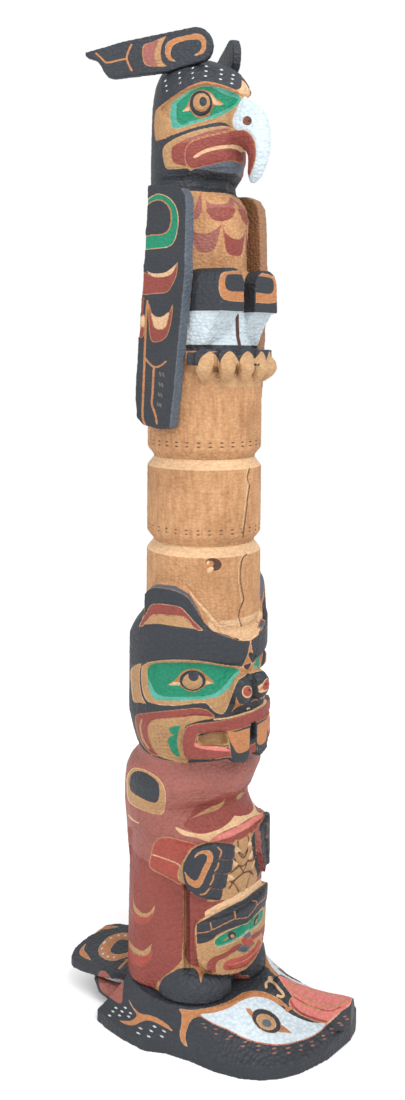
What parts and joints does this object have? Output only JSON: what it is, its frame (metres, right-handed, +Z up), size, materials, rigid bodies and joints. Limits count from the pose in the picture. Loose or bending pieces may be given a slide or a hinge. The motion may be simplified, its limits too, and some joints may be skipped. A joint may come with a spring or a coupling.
{
  "type": "totem pole",
  "caption": "Carved and painted cedar totem pole: eagle with wings and horns above a plain ringed column and a beaver, standing on a carved base.",
  "frame": {"origin": "on the floor, at the pole's axis, in the base's flat underside", "axes": "+Z up the pole; the figures look along -Y; their right hand side is -X; the base is turned 21 degrees from the front toward +X"},
  "size_m": [0.4494, 0.6587, 2.345],
  "materials": {
    "carved_pole": "adzed cedar with painted carving",
    "wings": "cedar boards painted slate black with coloured forms",
    "horns": "cedar boards painted slate black with orange and red forms",
    "base": "carved block painted slate black, white, pink and orange"
  },
  "bodies": {
    "root": {"carved_pole": "carved_pole", "wing_right": "wings", "wing_left": "wings", "horn_right": "horns", "horn_left": "horns", "base": "base"}
  },
  "joints": []
}
